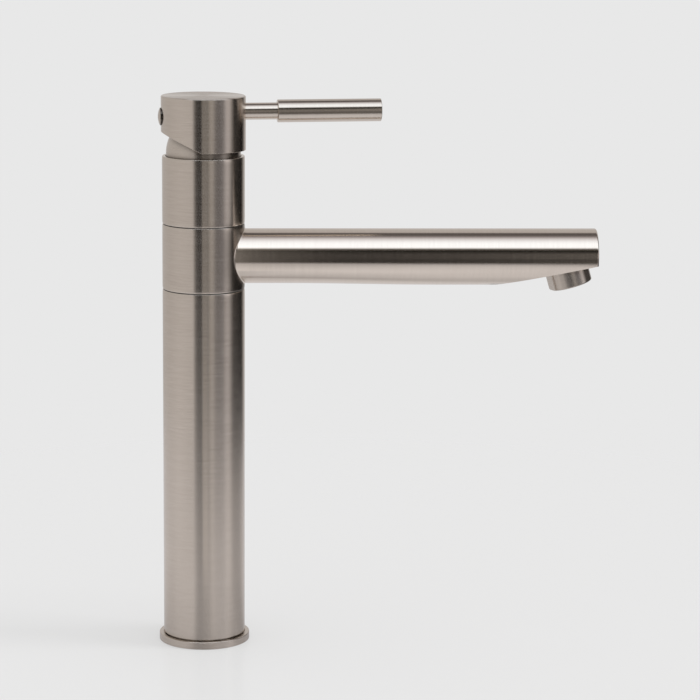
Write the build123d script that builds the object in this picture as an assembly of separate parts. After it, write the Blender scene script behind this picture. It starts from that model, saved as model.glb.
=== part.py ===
from build123d import *
from math import asin, degrees, radians, sin, sqrt, tan
import os

os.makedirs("parts", exist_ok=True)

# Kitchen mixer tap. Millimetres and degrees.
# The origin is the centre of the foot on the worktop, +Z is up and +X runs along the spout.

# Clearances
running_fit = 0.05        # radial, between parts that turn or slide in each other
assembly_fit = 0.1        # radial, between parts that are only put together
face_play = 0.05          # along the axis, between faces that slide

# Column and foot
column_d = 45.0
column_wall = 1.5
column_top = 197.8
foot_land = 2.5           # how far the foot ring stands out round the column
foot_height = 4.0
foot_seat = 2.2           # height of the step that the tube stands on
foot_step = 3.0           # width of that step
foot_fillet = 0.5
gasket_inset = 1.0        # from the tube's bore out to the gasket groove
gasket_width = 2.0
gasket_height = 1.2
plug_height = 12.0
stud_tap_r = 3.4          # M8 tapping size
stud_edge = 0.6           # metal left outside each stud hole in the foot's bore
hose_slot_width = 13.0
hose_slot_length = 26.0
collar_height = 16.0

# Swivelling ring and spout
spout_d = 30.0
spout_wall = 1.5
spout_reach = 215.2       # from the column's axis to the tip
spout_tip_fillet = 1.0
spout_land = 2.7          # height of ring above and below the spout
underside_length = 52.7   # from the tip back to where the underside begins to rise
underside_slope = 12.0
underside_wall = 2.5      # thicker, to carry the outlet
swivel_wall = 5.45
water_way_r = 6.0         # hole from the ring into the spout
slip_flange = 0.4
slip_flange_inset = 0.6
slip_wall = 1.5
slip_depth = 4.0
o_ring_d = 1.9
o_ring_groove = 2.4
o_ring_offset = 10.0      # above and below the spout's axis

# Aerator
aerator_inset = 16.0      # from the tip back to the aerator's axis
aerator_tilt = 16.0
aerator_side = 3.0        # the spout reaches this far past the nozzle on each side
aerator_drop = 9.1        # how far it stands out of the spout, along its axis
aerator_flat_depth = 1.0  # of the spanner flats
aerator_flats_turn = 23.0
aerator_sunk = 0.8
aerator_fillet = 0.8
aerator_thread_step = 1.1
aerator_thread_length = 5.5
aerator_wall = 1.1
aerator_lip = 0.5
aerator_lip_height = 1.0
outlet_bush_height = 8.0
outlet_bush_lip = 1.9       # how far the lip reaches in from the thread
outlet_bush_lip_height = 0.95
seal_height = 1.5
straightener_height = 5.0
straightener_hole_r = 0.75
sieve_pitch = 2.4         # between the rings of holes
sieve_rows = 3
strainer_height = 2.0
strainer_hole_r = 0.6
strainer_depth = 2.2      # below the top of the aerator's thread

# Upper sleeve, valve body and ball cover
sleeve_height = 36.7
sleeve_wall = 1.85
sleeve_flange = 1.0
sleeve_fillet = 0.9
spigot_tail = 5.8         # length of the valve body below the collar
cup_drop = 1.8            # the cup's rim lies this far below the sleeve's
cup_depth = 26.0
cup_wall = 1.75
cup_thread_step = 1.25
cup_thread_height = 5.5
inlet_x = 1.5
inlet_y = 6.2
inlet_r = 2.6
inlet_tap_r = 4.5         # M10x1 tapping size
inlet_tap_depth = 12.0
outlet_x = -7.0
outlet_r = 3.4
outlet_branch_r = 3.2
outlet_branch_turn = 50.0
water_band_depth = 2.0
water_band_overlap = 0.4  # the band reaches this far past the hole into the spout
pivot_rise = 1.6          # the handle's lift axis lies this far above the sleeve
dome_gap = 0.35
dome_wall = 1.2
dome_opening_margin = 3.0

# Cartridge
cartridge_base_height = 6.0
port_seal_gap = 0.8
port_seal_width = 1.0
port_seal_height = 1.25
disc_height = 4.0
disc_play = 0.02
disc_pocket_r = 5.0
disc_pocket_depth = 1.0
disc_pocket_edge = 1.0    # ceramic left outside the pocket
moving_disc_gap = 0.3     # to the housing, at the end of the disc's stroke
carrier_height = 4.6
carrier_width = 12.0
carrier_headroom = 0.4
housing_wall = 2.05
housing_height = 15.5
shoulder_wall = 1.5
neck_wall = 1.55
neck_rise = 2.6           # the neck ends this far above the lift axis
rotor_shoulder = 3.0      # between the rotor's turret and the housing's bore
rotor_rise = 3.6
rotor_flange = 3.9
rotor_seal_drop = 5.0
rotor_seal_d = 1.6
stem_side = 7.0
stem_slot_side = 0.15
stem_slot_play = 0.3
stem_shank_drop = 4.4
stem_neck_r = 2.0
ball_r = 2.6
ball_depth = 1.2          # the ball's centre lies this far below the carrier's top
pin_r = 1.5
pin_inset = 0.9
nut_hex_height = 4.0
nut_hex_gap = 0.4
nut_bore_gap = 0.2

# Handle
handle_turn_shown = 5.0   # the handle stands this far round from the spout
lift_range = 25.0
cut_margin = 1.0          # the cut at the cap's back is this much steeper than the lift
cut_start = 2.8           # behind the column's axis
cap_rise = 1.7            # the cap's lower edge lies this far above the lift axis
cap_height = 29.4
cap_play = 0.5
cap_wall = 2.2
cap_roof = 3.5
cap_fillet = 0.8
boss_r = 6.8
boss_rise = 16.2          # the boss ends this far above the lift axis
socket_roof = 2.0
stem_end_gap = 0.5
lever_drop = 8.9          # the lever's axis lies this far below the cap's top
lever_d = 9.0
lever_seat = 1.2
lever_thread_r = 3.0
lever_thread_length = 12.0
lug_width = 10.0
lug_gap = 0.6
grip_d = 12.0
grip_start = 40.2
grip_length = 57.5
grip_end_wall = 4.7
grip_pin_d = 8.0
grip_fillet = 0.5
index_drop = 11.35
index_d = 9.5
index_stem_r = 4.25
index_stem_length = 1.5
index_rim = 0.5
index_dome = 0.9
screw_r = 2.45            # M5
screw_length = 3.4
screw_socket_r = 1.4
screw_socket_depth = 1.6

# Radii that follow
column_r = column_d / 2
column_bore_r = column_r - column_wall
foot_r = column_r + foot_land
foot_bore_r = column_bore_r - foot_step
spout_r = spout_d / 2
spout_bore_r = spout_r - spout_wall
aerator_r = spout_r - aerator_side
aerator_thread_r = aerator_r - aerator_thread_step
swivel_bore_r = column_r - swivel_wall
spigot_r = swivel_bore_r - running_fit
sleeve_bore_r = column_r - sleeve_wall
cup_r = sleeve_bore_r - assembly_fit
cup_thread_r = cup_r - cup_wall
cup_bore_r = cup_thread_r - cup_thread_step
cartridge_r = cup_bore_r - assembly_fit
housing_bore_r = cartridge_r - housing_wall
rotor_r = housing_bore_r - rotor_shoulder
neck_bore_r = rotor_r + running_fit
neck_r = neck_bore_r + neck_wall
dome_r = sleeve_bore_r - dome_gap
dome_bore_r = dome_r - dome_wall
nut_r = cup_thread_r - running_fit
cap_bore_r = dome_r + cap_play
cap_r = cap_bore_r + cap_wall

# Heights that follow
swivel_bottom = column_top + slip_flange + face_play
swivel_top = swivel_bottom + spout_d + 2 * spout_land
spout_z = (swivel_bottom + swivel_top) / 2
sleeve_bottom = swivel_top + face_play + slip_flange
sleeve_top = sleeve_bottom + sleeve_height
spigot_bottom = column_top - collar_height - spigot_tail
cup_bottom = sleeve_bottom + sleeve_flange + face_play
cup_top = sleeve_top - cup_drop
cup_floor = cup_top - cup_depth
pivot_z = sleeve_top + pivot_rise
base_top = cup_floor + cartridge_base_height
fixed_disc_top = base_top + disc_height
moving_disc_top = fixed_disc_top + disc_height
carrier_top = moving_disc_top + carrier_height
housing_top = base_top + housing_height
housing_roof = housing_top - shoulder_wall
rotor_flange_top = housing_roof - assembly_fit
ball_z = carrier_top - ball_depth
cap_bottom = pivot_z + cap_rise
cap_top = cap_bottom + cap_height
cap_ceiling = cap_top - cap_roof
boss_bottom = pivot_z + boss_rise
lever_z = cap_top - lever_drop
index_z = cap_top - index_drop

# The disc's stroke: the ball swings about the lift axis and carries the disc along
disc_stroke = (pivot_z - ball_z) * sin(radians(lift_range))


def rod(radius, low, high):
    """Upright round bar from height low to height high."""
    return Pos(0, 0, (low + high) / 2) * Cylinder(radius, high - low)


def ring(outer_r, inner_r, low, high):
    """Upright tube from height low to height high."""
    return rod(outer_r, low, high) - rod(inner_r, low, high)


def rod_x(radius, start, end, height):
    """Round bar along X at the given height, with its seam on top."""
    centre = Pos((start + end) / 2, 0, height)
    return centre * Rot(0, -90, 0) * Cylinder(radius, end - start)


def block(x_low, x_high, half_width, low, high):
    """Box that is centred on the XZ plane."""
    centre = Pos((x_low + x_high) / 2, 0, (low + high) / 2)
    return centre * Box(x_high - x_low, 2 * half_width, high - low)


def circle_edges(part, height):
    """The round edges that lie at one height."""
    tolerance = 0.001
    edges = part.edges().filter_by(GeomType.CIRCLE)
    return edges.filter_by_position(Axis.Z, height - tolerance, height + tolerance)


def widest(edges):
    """The largest of some round edges."""
    return edges.sort_by(SortBy.RADIUS)[-1]


nodes = {}

# Foot ring: the tube stands on its inner step, and its underside has a groove for the gasket.
gasket_r = column_bore_r + gasket_inset
base_ring = ring(foot_r, foot_bore_r, 0, foot_seat)
base_ring += ring(foot_r, column_r + assembly_fit, foot_seat, foot_height)
base_ring = fillet(widest(circle_edges(base_ring, foot_height)), foot_fillet)
base_ring -= ring(gasket_r + gasket_width, gasket_r, 0, gasket_height)
nodes["base_ring"] = base_ring

# Gasket: flat rubber ring in that groove, flush with the underside.
nodes["base_gasket"] = ring(
    gasket_r + gasket_width - running_fit, gasket_r + running_fit, 0, gasket_height - face_play
)

# Column: plain round tube.
nodes["column_tube"] = ring(column_r, column_bore_r, foot_seat, column_top)

# Foot plug: closes the tube's foot, with two stud threads and a slot for both hoses.
plug_top = foot_seat + plug_height
stud_x = foot_bore_r - stud_edge - stud_tap_r
base_plug = rod(column_bore_r - running_fit, foot_seat, plug_top)
base_plug += rod(foot_bore_r - running_fit, 0, foot_seat)
hose_slot = extrude(SlotOverall(hose_slot_length, hose_slot_width, rotation=90), plug_top)
base_plug -= hose_slot
for side in (-1, 1):
    base_plug -= Pos(side * stud_x, 0, 0) * rod(stud_tap_r, 0, plug_top)
nodes["base_plug"] = base_plug

# Collar: threaded ring in the top of the tube that the valve body screws into.
collar_bottom = column_top - collar_height
nodes["column_collar"] = ring(
    column_bore_r - running_fit, spigot_r + running_fit, collar_bottom, column_top
)

# Swivelling ring: turns round the valve body's spigot, with a recess at each end for a slip ring
# and one hole through its wall into the spout.
slip_r = swivel_bore_r + slip_wall
swivel_ring = ring(column_r, swivel_bore_r, swivel_bottom, swivel_top)
swivel_ring -= rod(slip_r + running_fit, swivel_bottom, swivel_bottom + slip_depth)
swivel_ring -= rod(slip_r + running_fit, swivel_top - slip_depth, swivel_top)
swivel_ring -= rod_x(water_way_r, 0, column_r + spout_wall, spout_z)
nodes["swivel_ring"] = swivel_ring

# Slip rings: plastic bearing rings, one in each end of the swivelling ring, each with a thin
# flange that shows as a dark line between the round bodies.
flange_r = column_r - slip_flange_inset
lower_flange_top = column_top + slip_flange
upper_flange_bottom = sleeve_bottom - slip_flange
lower_slip_ring = ring(flange_r, swivel_bore_r, column_top, lower_flange_top)
lower_slip_ring += ring(
    slip_r, swivel_bore_r, lower_flange_top, swivel_bottom + slip_depth - face_play
)
nodes["lower_slip_ring"] = lower_slip_ring
upper_slip_ring = ring(flange_r, swivel_bore_r, upper_flange_bottom, sleeve_bottom)
upper_slip_ring += ring(
    slip_r, swivel_bore_r, swivel_top - slip_depth + face_play, upper_flange_bottom
)
nodes["upper_slip_ring"] = upper_slip_ring

# Valve body: spigot through the swivelling ring and a cup for the cartridge. Two inlets rise
# from the hose threads, and the outlet falls to a band that feeds the spout at any angle.
valve_body = rod(spigot_r, spigot_bottom, cup_bottom)
valve_body += rod(cup_r, cup_bottom, cup_top)
valve_body -= rod(cup_bore_r, cup_floor, cup_top)
valve_body -= rod(cup_thread_r, cup_top - cup_thread_height, cup_top)
band_half = water_way_r + water_band_overlap
valve_body -= ring(
    spigot_r + running_fit, spigot_r - water_band_depth, spout_z - band_half, spout_z + band_half
)
o_ring_r = swivel_bore_r - disc_play - o_ring_d / 2
groove_r = o_ring_r - o_ring_d / 2 - disc_play
for side in (-1, 1):
    groove_z = spout_z + side * o_ring_offset
    valve_body -= ring(
        spigot_r + running_fit, groove_r, groove_z - o_ring_groove / 2, groove_z + o_ring_groove / 2
    )
    inlet = Pos(inlet_x, side * inlet_y, 0)
    valve_body -= inlet * rod(inlet_r, spigot_bottom, cup_floor)
    valve_body -= inlet * rod(inlet_tap_r, spigot_bottom, spigot_bottom + inlet_tap_depth)
outlet = Pos(outlet_x, 0, 0)
valve_body -= outlet * rod(outlet_r, spout_z - outlet_r, cup_floor)
for turn in (-outlet_branch_turn, 0, outlet_branch_turn):
    valve_body -= outlet * Rot(0, 0, 180 + turn) * rod_x(outlet_branch_r, 0, spigot_r, spout_z)
nodes["valve_body"] = valve_body

# O-rings of the spigot: they seal the water band above and below.
for name, side in (("lower_o_ring", -1), ("upper_o_ring", 1)):
    nodes[name] = Pos(0, 0, spout_z + side * o_ring_offset) * Torus(o_ring_r, o_ring_d / 2)

# Upper sleeve: fixed cover round the cup, held by its bottom flange under the cup.
upper_sleeve = ring(column_r, sleeve_bore_r, sleeve_bottom, sleeve_top)
upper_sleeve += ring(
    column_r, spigot_r + assembly_fit, sleeve_bottom, sleeve_bottom + sleeve_flange
)
upper_sleeve = fillet(widest(circle_edges(upper_sleeve, sleeve_top)), sleeve_fillet)
nodes["upper_sleeve"] = upper_sleeve

# Spout: tube on the swivelling ring with a closed tip. Its underside rises towards the tip.
underside_start = spout_reach - underside_length
underside_axis = Pos(underside_start, 0, spout_z - spout_r) * Rot(0, -underside_slope, 0)


def below_underside(lift):
    """Everything below the spout's sloping underside, raised by lift at right angles to it."""
    slab = Pos(0, 0, lift - spout_d) * Box(2 * spout_reach, 2 * spout_d, 2 * spout_d)
    return underside_axis * slab


spout_skin = rod_x(spout_r, 0, spout_reach, spout_z)
tip_edges = spout_skin.edges().filter_by(GeomType.CIRCLE).sort_by(Axis.X)
spout_skin = fillet(tip_edges[-1], spout_tip_fillet)
spout_skin -= below_underside(0)
spout_hollow = rod_x(spout_bore_r, 0, spout_reach - spout_wall, spout_z)
spout_hollow -= below_underside(underside_wall)
aerator_rise = (underside_length - aerator_inset) * tan(radians(underside_slope))
aerator_seat = Pos(spout_reach - aerator_inset, 0, spout_z - spout_r + aerator_rise)
aerator_frame = aerator_seat * Rot(0, -aerator_tilt, 0)
outlet_bush_r = aerator_r + assembly_fit
spout_tube = spout_skin - spout_hollow
spout_tube -= rod(column_r + disc_play, swivel_bottom, swivel_top)
spout_tube -= aerator_frame * rod(outlet_bush_r + running_fit, -spout_r, 2 * underside_wall)
nodes["spout_tube"] = spout_tube

# Outlet bush: threaded ring inside the spout's skin that takes the aerator. In the aerator's
# frame the height is measured up from the underside, so the aerator hangs below zero.
bush_bottom = aerator_sunk + face_play
bush_top = bush_bottom + outlet_bush_height
bush_bore_r = aerator_thread_r + running_fit
thread_top = aerator_sunk + aerator_thread_length
aerator_bore_r = aerator_thread_r - aerator_wall
outlet_bush = rod(outlet_bush_r, bush_bottom, bush_top)
outlet_bush -= rod(bush_bore_r, bush_bottom, bush_top - outlet_bush_lip_height)
outlet_bush -= rod(bush_bore_r - outlet_bush_lip, bush_bottom, bush_top)
nodes["outlet_bush"] = aerator_frame * outlet_bush

# Aerator housing: round nozzle with two spanner flats and a thread above.
aerator_housing = rod(aerator_r, -aerator_drop, aerator_sunk)
aerator_housing = fillet(widest(circle_edges(aerator_housing, -aerator_drop)), aerator_fillet)
for side in (-1, 1):
    flat_x = side * (2 * aerator_r - aerator_flat_depth)
    flat = Pos(flat_x, 0, 0) * Box(2 * aerator_r, 2 * aerator_r, 2 * spout_d)
    aerator_housing -= Rot(0, 0, aerator_flats_turn) * flat
aerator_housing += rod(aerator_thread_r, aerator_sunk, thread_top)
aerator_housing -= rod(aerator_bore_r, aerator_lip_height - aerator_drop, thread_top)
aerator_housing -= rod(aerator_bore_r - aerator_lip, -aerator_drop, thread_top)
nodes["aerator_housing"] = aerator_frame * aerator_housing


def sieve(radius, low, high, hole_r):
    """Round plate with a hole in the middle and rings of six, twelve and more round it."""
    plate = rod(radius, low, high)
    plate -= rod(hole_r, low, high)
    for row in range(1, sieve_rows + 1):
        for step in range(6 * row):
            spoke = Rot(0, 0, 360 * step / (6 * row)) * Pos(row * sieve_pitch, 0, 0)
            plate -= spoke * rod(hole_r, low, high)
    return plate


# Flow straightener in the nozzle's mouth, strainer above it, and the seal on top.
insert_r = aerator_bore_r - running_fit
straightener_bottom = aerator_lip_height - aerator_drop + face_play
nodes["aerator_straightener"] = aerator_frame * sieve(
    insert_r, straightener_bottom, straightener_bottom + straightener_height, straightener_hole_r
)
strainer_top = thread_top - strainer_depth
nodes["aerator_strainer"] = aerator_frame * sieve(
    insert_r, strainer_top - strainer_height, strainer_top, strainer_hole_r
)
nodes["aerator_seal"] = aerator_frame * ring(
    aerator_thread_r - running_fit, aerator_bore_r - aerator_lip, thread_top, thread_top + seal_height
)

# Ball cover: shell with the lift axis at its centre. Its skirt screws onto the nut, and its
# opening leaves room for the handle's boss over the whole lift.
opening_angle = lift_range + degrees(asin(boss_r / dome_bore_r)) + dome_opening_margin
opening_r = dome_r * sin(radians(opening_angle))
dome_bottom = cup_top + assembly_fit
dome_cover = Pos(0, 0, pivot_z) * (Sphere(dome_r) - Sphere(dome_bore_r))
dome_cover -= rod(dome_r + dome_wall, pivot_z - 2 * dome_r, pivot_z)
dome_cover += ring(dome_r, nut_r + running_fit, dome_bottom, pivot_z)
dome_cover -= rod(opening_r, pivot_z, pivot_z + 2 * dome_r)
nodes["dome_cover"] = dome_cover

# Cartridge nut: presses the cartridge into the cup, and the ball cover screws onto it too.
nut_hex_r = sqrt(dome_bore_r**2 - nut_hex_height**2) - nut_hex_gap
cartridge_nut = rod(nut_r, housing_top, pivot_z)
nut_hex = extrude(RegularPolygon(nut_hex_r, 6), nut_hex_height)
cartridge_nut += Pos(0, 0, pivot_z) * nut_hex
cartridge_nut -= rod(neck_r + nut_bore_gap, housing_top, pivot_z + nut_hex_height)
nodes["cartridge_nut"] = cartridge_nut

# Where the water passes the cartridge: centre and radius of each port.
ports = (
    (inlet_x, inlet_y, inlet_r),
    (inlet_x, -inlet_y, inlet_r),
    (outlet_x, 0, outlet_r),
)


def port_rings(low, high, slack):
    """A ring round each port: a seal, or with slack the groove that holds it."""
    rings = []
    for x, y, radius in ports:
        inner_r = radius + port_seal_gap - slack
        seal = ring(inner_r + port_seal_width + 2 * slack, inner_r, low, high)
        rings.append(Pos(x, y, 0) * seal)
    return rings


# Cartridge base: carries the seals under and over it.
cartridge_base = rod(cartridge_r, cup_floor + assembly_fit, base_top)
for x, y, radius in ports:
    cartridge_base -= Pos(x, y, 0) * rod(radius, cup_floor, base_top)
for groove in port_rings(cup_floor, cup_floor + port_seal_height + face_play, running_fit):
    cartridge_base -= groove
for groove in port_rings(base_top - port_seal_height - face_play, base_top, running_fit):
    cartridge_base -= groove
nodes["cartridge_base"] = cartridge_base
nodes["lower_port_seals"] = Compound(children=port_rings(cup_floor, cup_floor + port_seal_height, 0))
nodes["upper_port_seals"] = Compound(children=port_rings(base_top - port_seal_height, base_top, 0))

# Fixed disc: ceramic, with the three ports.
disc_r = housing_bore_r - assembly_fit
fixed_disc = rod(disc_r, base_top, fixed_disc_top)
for x, y, radius in ports:
    fixed_disc -= Pos(x, y, 0) * rod(radius, base_top, fixed_disc_top)
nodes["fixed_disc"] = fixed_disc

# Cartridge housing: holds the discs and the rotor, with a neck for the rotor's turret.
neck_top = pivot_z + neck_rise
cartridge_housing = rod(cartridge_r, base_top, housing_top)
cartridge_housing += rod(neck_r, housing_top, neck_top)
cartridge_housing -= rod(housing_bore_r, base_top, housing_roof)
cartridge_housing -= rod(neck_bore_r, housing_roof, neck_top)
nodes["cartridge_housing"] = cartridge_housing


def turned(part):
    """Swing a part of the handle round to where the handle stands."""
    return Rot(0, 0, handle_turn_shown) * part


# Rotor: turns in the neck with the handle. A slot lets the stem swing, and a channel under its
# flange guides the disc carrier.
rotor_top = pivot_z + rotor_rise
rotor_flange_bottom = rotor_flange_top - rotor_flange
channel_half = carrier_width / 2 + assembly_fit
slot_half = stem_side / 2 + stem_slot_side
slot_reach = disc_stroke + ball_r + stem_slot_play
seal_z = pivot_z - rotor_seal_drop
seal_groove_r = rotor_r - rotor_seal_d
cartridge_rotor = rod(rotor_r, rotor_flange_bottom, rotor_top)
cartridge_rotor += rod(disc_r, rotor_flange_bottom, rotor_flange_top)
cartridge_rotor -= block(
    -cartridge_r, cartridge_r, channel_half, rotor_flange_bottom, carrier_top + carrier_headroom
)
cartridge_rotor -= block(-slot_reach, slot_reach, slot_half, rotor_flange_bottom, rotor_top)
cartridge_rotor -= ring(
    rotor_r + running_fit, seal_groove_r, seal_z - rotor_seal_d / 2, seal_z + rotor_seal_d / 2
)
pin_axis = Pos(0, 0, pivot_z) * Rot(90, 0, 0)
pin_length = 2 * (rotor_r - pin_inset)
cartridge_rotor -= pin_axis * Cylinder(pin_r, pin_length)
nodes["cartridge_rotor"] = turned(cartridge_rotor)

# Rotor seal and the pin that the stem swings on.
rotor_o_ring = ring(
    neck_bore_r - disc_play, seal_groove_r + disc_play,
    seal_z - rotor_seal_d / 2 + face_play, seal_z + rotor_seal_d / 2 - face_play
)
nodes["rotor_o_ring"] = turned(rotor_o_ring)
nodes["stem_pin"] = turned(pin_axis * Cylinder(pin_r, pin_length))

# Moving disc: slides on the fixed disc under the carrier. Its pocket joins inlets and outlet
# once the handle is lifted.
moving_disc_r = housing_bore_r - disc_stroke - moving_disc_gap
moving_disc = rod(moving_disc_r, fixed_disc_top + disc_play, moving_disc_top)
disc_pocket = rod(disc_pocket_r, fixed_disc_top, fixed_disc_top + disc_play + disc_pocket_depth)
moving_disc -= Pos(disc_pocket_r + disc_pocket_edge - moving_disc_r, 0, 0) * disc_pocket
nodes["moving_disc"] = turned(moving_disc)

# Disc carrier: sits on the moving disc, runs in the rotor's channel and holds the stem's ball.
carrier_reach = sqrt((disc_r - assembly_fit) ** 2 - (carrier_width / 2) ** 2) - disc_stroke
disc_carrier = block(
    -carrier_reach, carrier_reach, carrier_width / 2, moving_disc_top, carrier_top
)
disc_carrier -= rod(ball_r + assembly_fit, ball_z - ball_r - assembly_fit, carrier_top)
nodes["disc_carrier"] = turned(disc_carrier)

# Stem: square bar on the pin, with a ball at its lower end and the cap at its upper end.
socket_top = cap_ceiling - socket_roof
cartridge_stem = block(
    -stem_side / 2, stem_side / 2, stem_side / 2, pivot_z - stem_shank_drop, socket_top - stem_end_gap
)
cartridge_stem += rod(stem_neck_r, ball_z, pivot_z - stem_shank_drop)
cartridge_stem += Pos(0, 0, ball_z) * Sphere(ball_r)
cartridge_stem -= pin_axis * Cylinder(pin_r + running_fit, 2 * stem_side)
nodes["cartridge_stem"] = turned(cartridge_stem)

# Handle cap: hollow cap with a sloping cut at the back, so that it clears the sleeve when it
# tips. Inside, a boss takes the stem and a lug takes the lever's thread.
cut_angle = lift_range + cut_margin
handle_cap = rod(cap_r, cap_bottom, cap_top)
handle_cap = fillet(widest(circle_edges(handle_cap, cap_top)), cap_fillet)
handle_cap -= rod(cap_bore_r, cap_bottom, cap_ceiling)
lug = block(0, cap_bore_r + cap_wall / 2, lug_width / 2, lever_z - lug_width / 2, cap_ceiling)
handle_cap += lug - Pos(0, 0, pivot_z) * Sphere(dome_r + lug_gap)
handle_cap += rod(boss_r, boss_bottom, cap_ceiling)
cut_slab = Pos(-cap_r, 0, -cap_r) * Box(2 * cap_r, 3 * cap_r, 2 * cap_r)
handle_cap -= Pos(-cut_start, 0, cap_bottom) * Rot(0, cut_angle, 0) * cut_slab
socket_half = stem_side / 2 + running_fit
handle_cap -= block(-socket_half, socket_half, socket_half, boss_bottom, socket_top)
lever_seat_x = cap_r - lever_seat
thread_start = lever_seat_x - lever_thread_length
handle_cap -= rod_x(lever_d / 2 + running_fit, lever_seat_x, cap_r, lever_z)
handle_cap -= rod_x(lever_thread_r, thread_start, lever_seat_x, lever_z)
handle_cap -= rod_x(index_stem_r + running_fit, -cap_r, -cap_bore_r + cap_play, index_z)
handle_cap -= rod_x(screw_r + running_fit, -boss_r, 0, index_z)
nodes["handle_cap"] = turned(handle_cap)

# Lever rod: screws into the cap, and its far end carries the grip.
grip_end = grip_start + grip_length
lever_rod = rod_x(lever_d / 2, lever_seat_x + face_play, grip_start, lever_z)
lever_rod += rod_x(
    lever_thread_r - running_fit, thread_start + face_play, lever_seat_x + face_play, lever_z
)
lever_rod += rod_x(grip_pin_d / 2, grip_start, grip_end - grip_end_wall - face_play, lever_z)
nodes["lever_rod"] = turned(lever_rod)

# Grip: sleeve on the rod with a closed end.
lever_sleeve = rod_x(grip_d / 2, grip_start + face_play, grip_end, lever_z)
lever_sleeve = fillet(lever_sleeve.edges().filter_by(GeomType.CIRCLE), grip_fillet)
lever_sleeve -= rod_x(
    grip_pin_d / 2 + running_fit, grip_start, grip_end - grip_end_wall, lever_z
)
nodes["lever_sleeve"] = turned(lever_sleeve)

# Grub screw: holds the boss on the stem, behind the index button.
screw_tip = -stem_side / 2 - 2 * running_fit
handle_set_screw = rod_x(screw_r, screw_tip - screw_length, screw_tip, index_z)
socket_end = screw_tip - screw_length + screw_socket_depth
screw_socket = extrude(RegularPolygon(screw_socket_r, 6), screw_socket_depth)
handle_set_screw -= Pos(socket_end, 0, index_z) * Rot(0, -90, 0) * screw_socket
nodes["handle_set_screw"] = turned(handle_set_screw)

# Index button: domed plug that closes the screw's access hole at the back of the cap.
index_back = -cap_r - disc_play
index_front = index_back - index_rim
index_r = index_d / 2
dome_radius = (index_r**2 + index_dome**2) / (2 * index_dome)
index_ball = Pos(index_front - index_dome + dome_radius, 0, index_z) * Sphere(dome_radius)
index_button = index_ball - block(
    index_front, cap_r, 2 * dome_radius, index_z - 2 * dome_radius, index_z + 2 * dome_radius
)
index_button += rod_x(index_r, index_front, index_back, index_z)
index_button += rod_x(index_stem_r, index_back, -cap_r + index_stem_length, index_z)
nodes["index_button"] = turned(index_button)

for name, shape in nodes.items():
    export_step(shape, f"parts/{name}.step")
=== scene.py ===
import math

import bmesh
import bpy
from mathutils import Matrix, Vector


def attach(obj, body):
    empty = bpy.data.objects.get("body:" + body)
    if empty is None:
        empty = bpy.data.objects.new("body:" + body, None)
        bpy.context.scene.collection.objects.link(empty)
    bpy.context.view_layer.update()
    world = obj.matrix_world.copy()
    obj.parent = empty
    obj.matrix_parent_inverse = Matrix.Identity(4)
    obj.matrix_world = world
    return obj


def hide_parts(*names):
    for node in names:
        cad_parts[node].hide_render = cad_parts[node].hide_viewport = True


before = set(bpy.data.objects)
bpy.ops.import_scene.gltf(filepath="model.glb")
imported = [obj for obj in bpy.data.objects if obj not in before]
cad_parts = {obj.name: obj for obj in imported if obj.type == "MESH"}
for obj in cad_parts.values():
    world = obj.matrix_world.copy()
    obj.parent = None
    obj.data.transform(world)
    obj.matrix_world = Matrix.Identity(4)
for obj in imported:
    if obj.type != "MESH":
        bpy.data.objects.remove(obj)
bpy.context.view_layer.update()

# The photograph's camera: a long lens a metre and a half in front of the tap and a little above
# its top, tilted down to the worktop. Its place and angles come from the tap's own outline.
MM = 0.001
camera_place = Vector((6.7589, -1492.548, 442.8819)) * MM
camera_swing = 0.0493
camera_tilt = -0.1849
camera_roll = 0.0077
camera_data = bpy.data.cameras.new("photo_camera")
camera_data.sensor_width = 36.0
camera_data.lens = 141.907
camera_data.clip_start = 0.05
camera_data.clip_end = 50.0
camera = bpy.data.objects.new("photo_camera", camera_data)
bpy.context.scene.collection.objects.link(camera)
camera.matrix_world = (
    Matrix.Translation(camera_place)
    @ Matrix.Rotation(-camera_swing, 4, "Z")
    @ Matrix.Rotation(math.pi / 2 + camera_tilt, 4, "X")
    @ Matrix.Rotation(camera_roll, 4, "Z")
)
bpy.context.scene.camera = camera


# Foot ring: a thin ring of brass, turned, nickel plated and brushed on the lathe, that the column
# stands in. A groove under it takes the rubber gasket, and its top edge is rounded.
foot_r = 25.0
foot_bore_r = 18.0
foot_height = 4.0
foot_seat = 2.2
foot_socket_r = 22.6
foot_fillet = 0.5
groove_inner_r = 22.0
groove_outer_r = 24.0
groove_height = 1.2
merge_distance = 0.0005 * MM
cut_distance = 0.0001 * MM
sharp_angle = math.radians(28)


def turned_blank(outline, steps=192, closed=True):
    """A part on the lathe: an outline of (radius, height) in millimetres, spun round the Z axis."""
    blank = bmesh.new()
    corners = [blank.verts.new((radius * MM, 0, height * MM)) for radius, height in outline]
    sides = []
    for start, end in zip(corners, corners[1:] + corners[:1] * closed):
        if start.co.x > 0 or end.co.x > 0:
            sides.append(blank.edges.new((start, end)))
    bmesh.ops.spin(
        blank,
        geom=corners + sides,
        cent=(0, 0, 0),
        axis=(0, 0, 1),
        angle=2 * math.pi,
        steps=steps,
        use_merge=True,
    )
    bmesh.ops.remove_doubles(blank, verts=blank.verts, dist=merge_distance)
    bmesh.ops.recalc_face_normals(blank, faces=blank.faces)
    return blank


def on_ring(vert, radius, height):
    """Whether a corner lies on the ring of one radius at one height."""
    off_radius = abs(math.hypot(vert.co.x, vert.co.y) - radius * MM)
    off_height = abs(vert.co.z - height * MM)
    return max(off_radius, off_height) < 0.002 * MM


def round_edges(blank, edges, fillet, segments):
    """Rounds some edges of a blank."""
    bmesh.ops.bevel(
        blank,
        geom=edges,
        offset=fillet * MM,
        offset_type="OFFSET",
        segments=segments,
        profile=0.5,
        affect="EDGES",
        material=-1,
    )


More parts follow.
